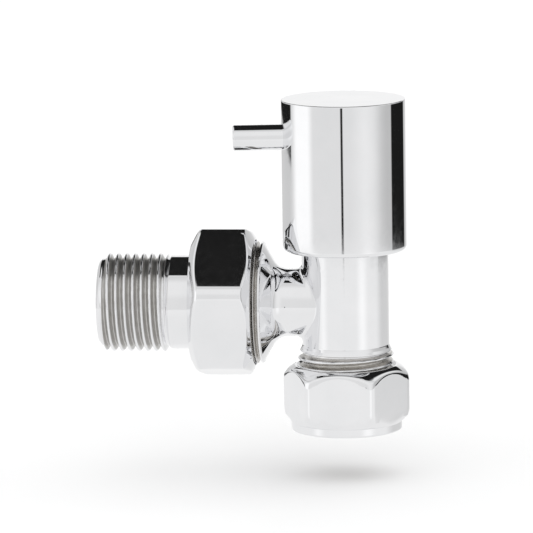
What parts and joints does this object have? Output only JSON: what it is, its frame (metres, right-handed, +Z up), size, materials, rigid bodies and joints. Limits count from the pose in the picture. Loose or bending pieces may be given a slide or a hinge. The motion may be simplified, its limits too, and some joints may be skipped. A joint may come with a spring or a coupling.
{
  "type": "lockshield radiator valve",
  "caption": "Angled lockshield radiator valve, chrome plated, with a compression joint for 15 mm pipe, a union tail and a plain cylindrical cap with a lever pin.",
  "frame": {"origin": "centre of the pipe mouth, in the compression nut's lower face", "axes": "+Z up the spindle, away from the pipe; -X out along the radiator tail, 27.3 mm above the pipe mouth"},
  "size_m": [0.0662, 0.033, 0.0711],
  "materials": {
    "chrome_plate": "bright chrome plate on brass",
    "chrome_thread": "thinly plated thread, satin in the grooves",
    "brass": "machined brass",
    "spring_steel": "bright steel",
    "rubber": "matt black EPDM",
    "ptfe": "white PTFE",
    "nylon": "natural nylon"
  },
  "bodies": {
    "valve": {"valve_body": "chrome_plate", "bonnet": "brass", "bonnet_o_ring": "rubber", "spindle_o_ring": "rubber", "gland_washer": "brass", "gland_packing": "ptfe", "gland_nut": "brass"},
    "plug": {"plug": "brass", "plug_washer": "rubber", "washer_plate": "brass", "washer_screw": "brass"},
    "spindle": {"spindle": "brass", "plug_snap_ring": "spring_steel"},
    "olive": {"olive": "brass"},
    "compression_nut": {"compression_nut": "chrome_plate"},
    "union_seal": {"union_o_ring": "rubber"},
    "tail": {"tail": "chrome_thread"},
    "union_nut": {"union_nut": "chrome_plate"},
    "grip_ring": {"cap_grip_ring": "spring_steel"},
    "cap": {"cap_shell": "chrome_plate", "cap_liner": "nylon", "lever_pin": "chrome_plate", "lever_nut": "spring_steel"}
  },
  "joints": [
    {"name": "plug_lift", "type": "slide", "parent": "valve", "child": "plug", "axis": [0, 0, 1], "range_m": [0, 0.0045]},
    {"name": "spindle_turn", "type": "hinge", "parent": "plug", "child": "spindle", "pos_m": [0, 0, 0.03], "axis": [0, 0, 1], "range_deg": [0, 1080]},
    {"name": "olive_release", "type": "slide", "parent": "valve", "child": "olive", "axis": [0, 0, -1], "range_m": [0, 0.00726]},
    {"name": "compression_nut_turn", "type": "hinge", "parent": "olive", "child": "compression_nut", "pos_m": [0, 0, 0.007], "axis": [0, 0, -1], "range_deg": [0, 1440]},
    {"name": "tail_release", "type": "slide", "parent": "valve", "child": "union_seal", "axis": [-1, 0, 0], "range_m": [0, 0.00907]},
    {"name": "union_nut_turn", "type": "hinge", "parent": "union_seal", "child": "union_nut", "pos_m": [-0.026, 0, 0.0273], "axis": [-1, 0, 0], "range_deg": [0, 1800]},
    {"name": "tail_swivel", "type": "hinge", "parent": "union_seal", "child": "tail", "pos_m": [-0.04, 0, 0.0273], "axis": [-1, 0, 0], "continuous": true},
    {"name": "cap_turn", "type": "hinge", "parent": "valve", "child": "grip_ring", "pos_m": [0, 0, 0.051], "axis": [0, 0, 1], "continuous": true},
    {"name": "cap_pull", "type": "slide", "parent": "grip_ring", "child": "cap", "axis": [0, 0, 1], "range_m": [0, 0.038]}
  ],
  "couplings": [
    {"joint": "spindle_turn", "follows": "plug_lift", "rad_per_m": 4188.8},
    {"joint": "compression_nut_turn", "follows": "olive_release", "rad_per_m": 3463.7},
    {"joint": "union_nut_turn", "follows": "tail_release", "rad_per_m": 3463.7}
  ]
}
